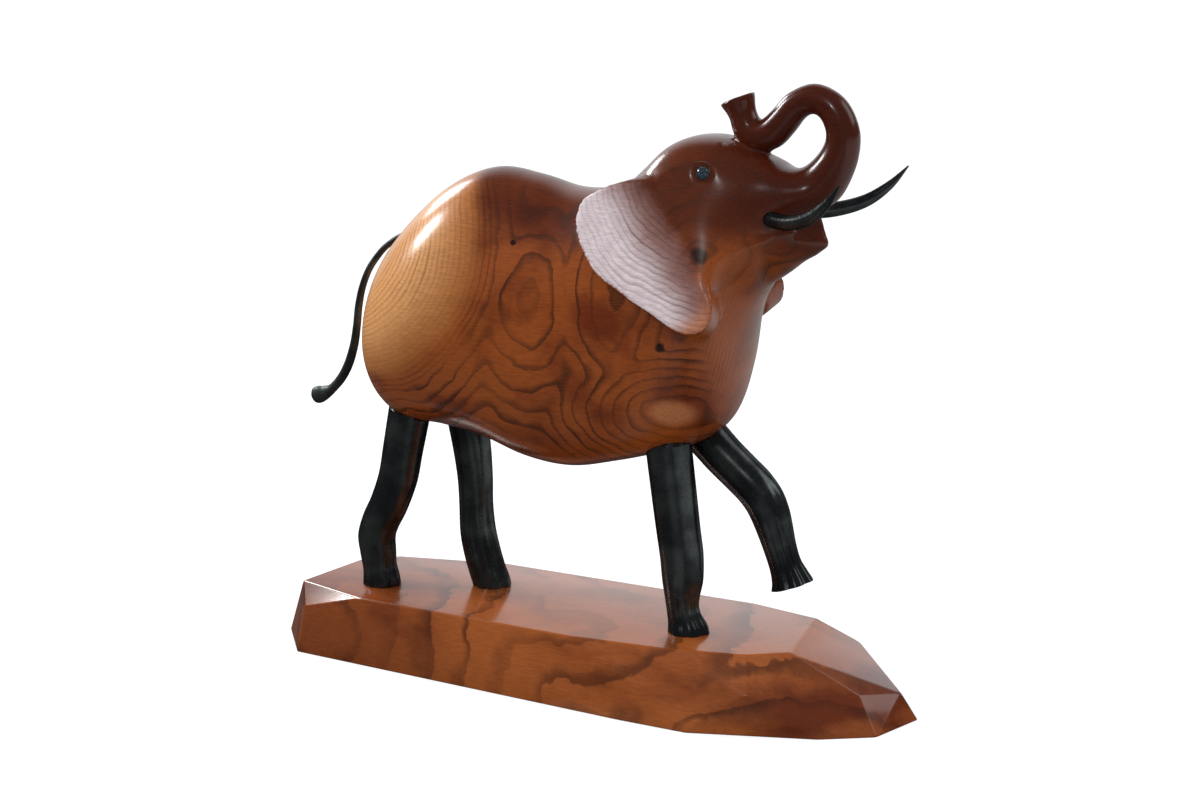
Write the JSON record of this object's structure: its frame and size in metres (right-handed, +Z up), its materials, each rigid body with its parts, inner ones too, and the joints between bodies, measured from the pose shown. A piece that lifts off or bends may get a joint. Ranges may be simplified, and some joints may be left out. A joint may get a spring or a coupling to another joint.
{
  "type": "wooden elephant sculpture",
  "caption": "Carved wooden elephant with raised, looped trunk, dark metal legs, tusks and tail, walking on a faceted wooden base.",
  "frame": {"origin": "on the base's underside, in the elephant's plane of symmetry, below the middle of its body", "axes": "+X towards the elephant's head and along the base, +Y to its left, +Z up"},
  "size_m": [0.417, 0.141, 0.3602],
  "materials": {
    "body_wood": "oiled and polished reddish brown hardwood with pale sapwood at the rump",
    "base_wood": "satin reddish brown hardwood with hand-cut facets",
    "dark_metal": "blackened and waxed, rubbed brighter on the ridges",
    "eye_bead": "polished dark bead"
  },
  "bodies": {
    "root": {"base": "base_wood", "carved_body": "body_wood", "leg_rear_right": "dark_metal", "leg_rear_left": "dark_metal", "leg_front_right": "dark_metal", "leg_front_left": "dark_metal", "tusk_right": "dark_metal", "tusk_left": "dark_metal", "tail": "dark_metal", "eye_right": "eye_bead", "eye_left": "eye_bead"}
  },
  "joints": []
}
